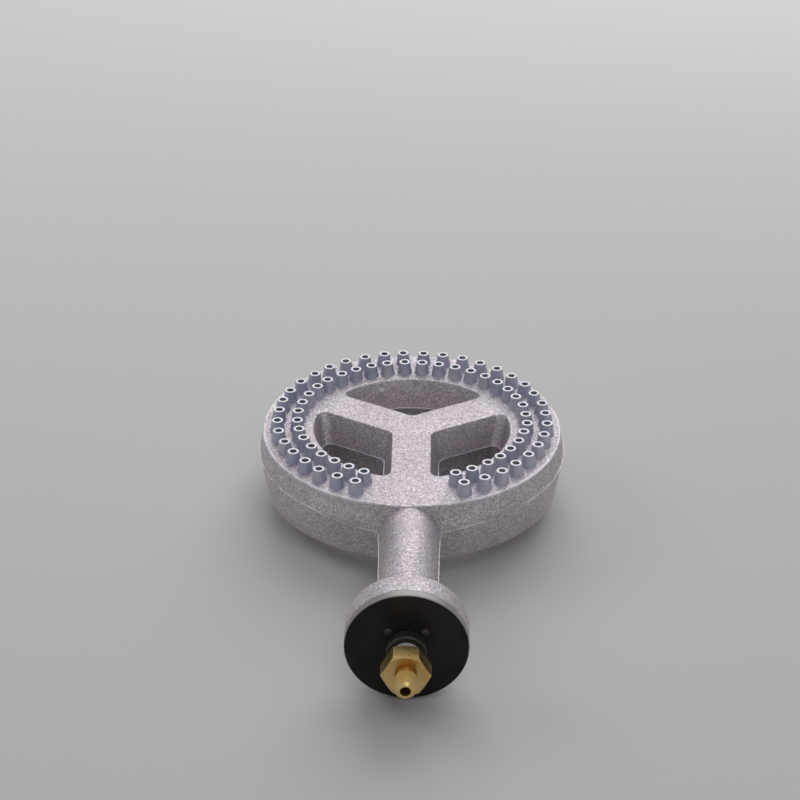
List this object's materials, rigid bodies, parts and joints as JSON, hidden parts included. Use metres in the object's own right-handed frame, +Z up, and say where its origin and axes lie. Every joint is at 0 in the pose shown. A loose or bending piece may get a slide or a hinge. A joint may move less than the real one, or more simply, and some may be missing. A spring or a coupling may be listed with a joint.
{
  "type": "banjo burner",
  "caption": "Round cast gas burner head with two rings of jets and three openings, on a mixer tube with a bell, a screw-type air shutter and a flare inlet.",
  "frame": {"origin": "on the head's axis, on the plane that its three feet stand on", "axes": "+Z up through the top plate, -Y along the mixer tube to the gas inlet, +X to the right seen from the inlet"},
  "size_m": [0.2554, 0.4581, 0.094],
  "materials": {
    "blasted_iron": "shot-blasted sand casting, bare",
    "jet_steel": "turned, heat-dulled",
    "black_steel": "blackened steel",
    "zinc_steel": "zinc plated",
    "spring_steel": "drawn wire",
    "shutter_steel": "pressed steel, blackened face, bare rim",
    "brass": "machined",
    "red_fibre": "vulcanised fibre",
    "bronze_gauze": "woven gauze"
  },
  "bodies": {
    "burner": {"burner_casting": "blasted_iron", "core_plugs": "black_steel", "outer_jets": "jet_steel", "inner_jets": "jet_steel", "orifice_nipple": "zinc_steel", "orifice_jet": "brass", "lock_washer": "zinc_steel", "lock_nut": "zinc_steel", "spring_seat_washer": "zinc_steel", "shutter_spring": "spring_steel", "inlet_adapter": "brass", "inlet_seal": "red_fibre", "inlet_filter": "bronze_gauze"},
    "shutter_washer": {"thrust_washer": "zinc_steel"},
    "shutter": {"air_shutter": "shutter_steel", "shutter_hub": "black_steel", "shutter_rivets": "black_steel"}
  },
  "joints": [
    {"name": "shutter_travel", "type": "slide", "parent": "burner", "child": "shutter_washer", "axis": [0, -1, 0], "range_m": [-0.0003, 0.0075], "deforming": ["shutter_spring"]},
    {"name": "shutter_turn", "type": "hinge", "parent": "shutter_washer", "child": "shutter", "pos_m": [0, -0.2756, 0.048], "axis": [0, -1, 0], "range_deg": [-72, 1800]}
  ],
  "couplings": [
    {"joint": "shutter_travel", "follows": "shutter_turn", "m_per_rad": 0.00023873}
  ]
}
